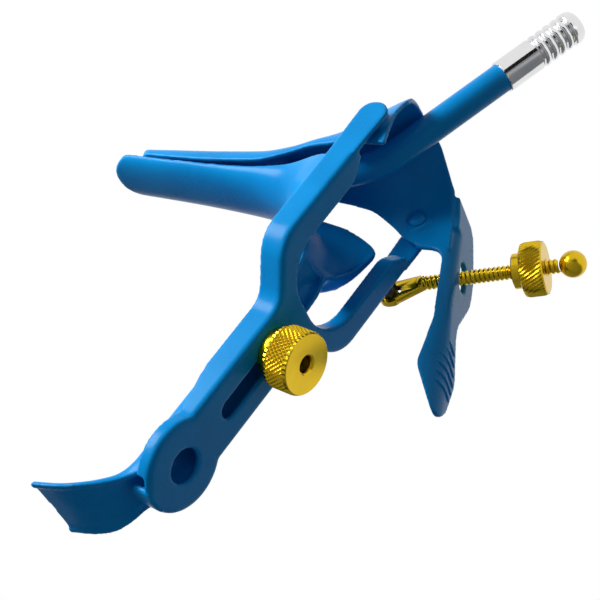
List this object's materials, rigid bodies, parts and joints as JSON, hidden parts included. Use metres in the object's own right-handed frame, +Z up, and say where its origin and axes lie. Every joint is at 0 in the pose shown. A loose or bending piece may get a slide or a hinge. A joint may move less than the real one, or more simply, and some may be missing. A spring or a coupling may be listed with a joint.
{
  "type": "bivalve speculum",
  "caption": "Coated bivalve speculum with a slotted handle, thumb lever, adjusting rod with nuts, and a smoke tube with a hose nozzle.",
  "frame": {"origin": "front of the handle, on the axis of the clamp nut", "axes": "+X to the user's right (the lever side), +Y forward to the blade tips, +Z up with the handle hanging down"},
  "size_m": [0.0724, 0.1603, 0.2082],
  "materials": {
    "coat": "glossy insulating coat over steel",
    "gold": "polished",
    "chrome": "polished",
    "dark_steel": "dark"
  },
  "bodies": {
    "handle": {"lower_blade": "coat", "clamp_stud": "dark_steel"},
    "clamp": {"clamp_nut": "gold"},
    "frame": {"yoke": "coat", "hinge_rivet_left": "coat", "hinge_rivet_right": "coat", "rod_pivot_pin": "dark_steel"},
    "blade": {"upper_blade": "coat", "smoke_tube": "coat", "hose_nozzle": "chrome"},
    "rod": {"adjusting_rod": "gold", "rod_ball": "gold"},
    "nut": {"rod_nut": "gold"}
  },
  "joints": [
    {"name": "yoke_slide", "type": "slide", "parent": "handle", "child": "frame", "axis": [0, -0.2419, 0.9703], "range_m": [0, 0.022]},
    {"name": "clamp_nut_turn", "type": "hinge", "parent": "handle", "child": "clamp", "pos_m": [0, -0.01213, -0.00302], "axis": [0, 0.9703, 0.2419], "continuous": true},
    {"name": "blade_hinge", "type": "hinge", "parent": "frame", "child": "blade", "pos_m": [0, -0.02409, 0.06974], "axis": [1, 0, 0], "range_deg": [0, 24]},
    {"name": "rod_pivot", "type": "hinge", "parent": "frame", "child": "rod", "pos_m": [0.034, -0.01889, 0.04806], "axis": [1, 0, 0], "range_deg": [0, 12.5]},
    {"name": "rod_nut_travel", "type": "slide", "parent": "rod", "child": "nut", "axis": [0, -0.965, 0.2622], "range_m": [-0.014, 0.003]}
  ],
  "couplings": [
    {"joint": "rod_pivot", "follows": "blade_hinge", "ratio": 0.52}
  ]
}
